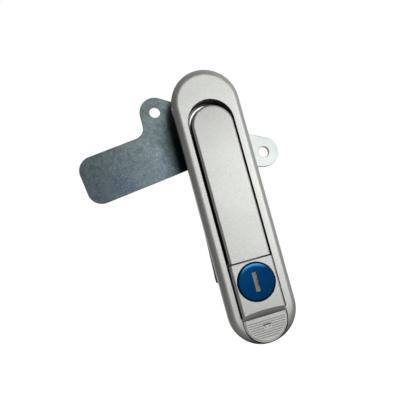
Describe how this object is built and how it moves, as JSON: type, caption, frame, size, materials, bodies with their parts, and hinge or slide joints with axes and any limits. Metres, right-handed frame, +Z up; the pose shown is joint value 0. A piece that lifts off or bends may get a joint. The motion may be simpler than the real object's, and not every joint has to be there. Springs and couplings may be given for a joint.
{
  "type": "swing handle lock",
  "caption": "Flush swing-handle cabinet lock with a round-ended escutcheon, key cylinder, thumb button and flat cam plate behind.",
  "frame": {"origin": "on the door's front face, where the handle's spindle passes through it", "axes": "+X to the right seen from the front, +Y back through the door, +Z up along the escutcheon"},
  "size_m": [0.1121, 0.0307, 0.15],
  "materials": {
    "satin_silver": "satin",
    "zinc_plate": "satin",
    "black_paint": "satin",
    "steel": "satin",
    "spring_steel": "polished",
    "brass": "satin",
    "nickel": "polished",
    "black_rubber": "matte",
    "blue_cap": "gloss",
    "white_mark": "matte"
  },
  "bodies": {
    "escutcheon": {"body_housing": "satin_silver", "gasket": "black_rubber", "clamp_bracket": "black_paint", "clamp_screws": "steel", "rotor_bush": "brass", "thrust_washer": "steel", "lock_block": "satin_silver", "block_pins": "steel", "cylinder_body": "nickel", "cylinder_clip": "spring_steel", "lock_cover": "steel", "cover_screws": "steel", "latch_springs": "spring_steel"},
    "spindle": {"rotor": "steel", "rotor_o_ring": "black_rubber", "retaining_washer": "steel", "retaining_ring": "spring_steel", "cam_plate": "zinc_plate", "cam_washer": "steel", "cam_spring_washer": "spring_steel", "cam_screw": "steel", "handle_pin": "steel", "popup_spring": "spring_steel"},
    "handle": {"handle": "satin_silver"},
    "button": {"release_button": "satin_silver", "button_arrow": "white_mark"},
    "latch": {"latch_slide": "steel"},
    "plug": {"cylinder_plug": "brass", "key_cap": "blue_cap", "key_shutter": "brass", "plug_lever": "steel", "lever_screw": "steel"}
  },
  "joints": [
    {"name": "handle_swing", "type": "hinge", "parent": "escutcheon", "child": "spindle", "pos_m": [0, 0, 0], "axis": [0, -1, 0], "range_deg": [0, 90]},
    {"name": "handle_tilt", "type": "hinge", "parent": "spindle", "child": "handle", "pos_m": [0, -0.001, 0.001], "axis": [-1, 0, 0], "range_deg": [0, 40]},
    {"name": "button_press", "type": "hinge", "parent": "escutcheon", "child": "button", "pos_m": [0, -0.0025, -0.1165], "axis": [-1, 0, 0], "range_deg": [0, 10]},
    {"name": "latch_slide_travel", "type": "slide", "parent": "escutcheon", "child": "latch", "axis": [0, 0, -1], "range_m": [0, 0.00179], "stiffness_N_per_m": 400, "springref_m": -0.004, "deforming": ["latch_springs"]},
    {"name": "key_turn", "type": "hinge", "parent": "escutcheon", "child": "plug", "pos_m": [0, 0, -0.08745], "axis": [0, 1, 0], "range_deg": [0, 90]}
  ],
  "couplings": [
    {"joint": "handle_tilt", "follows": "handle_swing", "ratio": 0.4444},
    {"joint": "button_press", "follows": "latch_slide_travel", "rad_per_m": 97}
  ]
}
